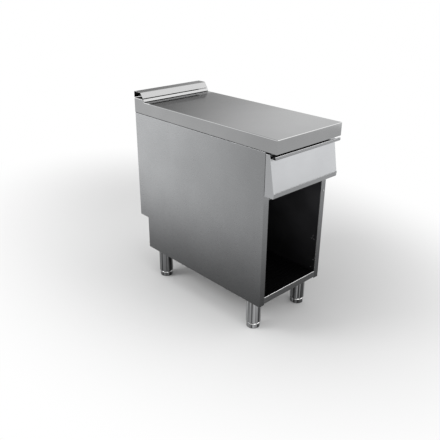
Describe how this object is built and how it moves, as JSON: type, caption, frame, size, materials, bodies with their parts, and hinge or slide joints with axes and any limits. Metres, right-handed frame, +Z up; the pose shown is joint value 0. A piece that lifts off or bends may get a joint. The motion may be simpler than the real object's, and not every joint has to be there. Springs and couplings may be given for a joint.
{
  "type": "counter module with drawer and open cupboard",
  "caption": "Stainless steel counter module with a flush worktop, rear flue cover, slanted drawer front with grip rail, open cupboard and round levelling legs.",
  "frame": {"origin": "on the floor, under the middle of the 400 by 900 mm worktop", "axes": "+X to the right and +Y to the back as seen from the drawer side, +Z up"},
  "size_m": [0.4, 0.9, 0.942],
  "materials": {
    "satin_steel": "satin",
    "polished_steel": "bright satin",
    "leg_steel": "polished",
    "dark_liner": "black enamel",
    "fastener_steel": "plain",
    "zinc_steel": "galvanised",
    "rubber": "matt"
  },
  "bodies": {
    "cabinet": {"back_panel": "satin_steel", "back_panel_screws": "fastener_steel", "base_channel_left": "zinc_steel", "base_channel_right": "zinc_steel", "base_crossmember_front": "zinc_steel", "base_crossmember_rear": "zinc_steel", "cupboard_back": "dark_liner", "cupboard_floor": "satin_steel", "drawer_bay_floor": "satin_steel", "drawer_bumpers": "rubber", "flange_screw_right": "fastener_steel", "flue_bracket_left": "satin_steel", "flue_bracket_right": "satin_steel", "flue_bracket_screws": "fastener_steel", "flue_cover": "polished_steel", "flue_upstand": "polished_steel", "inner_liner_left": "dark_liner", "inner_liner_right": "dark_liner", "leg_bolts": "fastener_steel", "leg_insert_front_left": "zinc_steel", "leg_insert_front_right": "zinc_steel", "leg_insert_rear_left": "zinc_steel", "leg_insert_rear_right": "zinc_steel", "leg_plate_front_left": "zinc_steel", "leg_plate_front_right": "zinc_steel", "leg_plate_rear_left": "zinc_steel", "leg_plate_rear_right": "zinc_steel", "leg_tube_front_left": "leg_steel", "leg_tube_front_right": "leg_steel", "leg_tube_rear_left": "leg_steel", "leg_tube_rear_right": "leg_steel", "recess_panel": "satin_steel", "side_panel_left": "satin_steel", "side_panel_right": "satin_steel", "slide_outer_left": "zinc_steel", "slide_outer_right": "zinc_steel", "top_rail_front": "satin_steel", "top_rail_rear": "satin_steel", "worktop": "satin_steel", "worktop_screws": "fastener_steel", "worktop_stiffener_front": "satin_steel", "worktop_stiffener_middle": "satin_steel", "worktop_stiffener_rear": "satin_steel"},
    "slide_middle": {"slide_middle_left": "zinc_steel", "slide_middle_right": "zinc_steel"},
    "drawer": {"drawer_box": "satin_steel", "drawer_front": "satin_steel", "drawer_front_backing": "satin_steel", "drawer_front_screws": "fastener_steel", "grip_rail": "satin_steel", "slide_inner_left": "zinc_steel", "slide_inner_right": "zinc_steel"},
    "foot_front_left": {"levelling_foot_front_left": "leg_steel"},
    "foot_front_right": {"levelling_foot_front_right": "leg_steel"},
    "foot_rear_left": {"levelling_foot_rear_left": "leg_steel"},
    "foot_rear_right": {"levelling_foot_rear_right": "leg_steel"}
  },
  "joints": [
    {"name": "drawer_slide", "type": "slide", "parent": "cabinet", "child": "drawer", "axis": [0, -1, 0], "range_m": [0, 0.5]},
    {"name": "slide_middle_travel", "type": "slide", "parent": "cabinet", "child": "slide_middle", "axis": [0, -1, 0], "range_m": [0, 0.25]},
    {"name": "levelling_front_left", "type": "slide", "parent": "cabinet", "child": "foot_front_left", "axis": [0, 0, -1], "range_m": [0, 0.045]},
    {"name": "levelling_front_right", "type": "slide", "parent": "cabinet", "child": "foot_front_right", "axis": [0, 0, -1], "range_m": [0, 0.045]},
    {"name": "levelling_rear_left", "type": "slide", "parent": "cabinet", "child": "foot_rear_left", "axis": [0, 0, -1], "range_m": [0, 0.045]},
    {"name": "levelling_rear_right", "type": "slide", "parent": "cabinet", "child": "foot_rear_right", "axis": [0, 0, -1], "range_m": [0, 0.045]}
  ],
  "couplings": [
    {"joint": "slide_middle_travel", "follows": "drawer_slide", "ratio": 0.5}
  ]
}
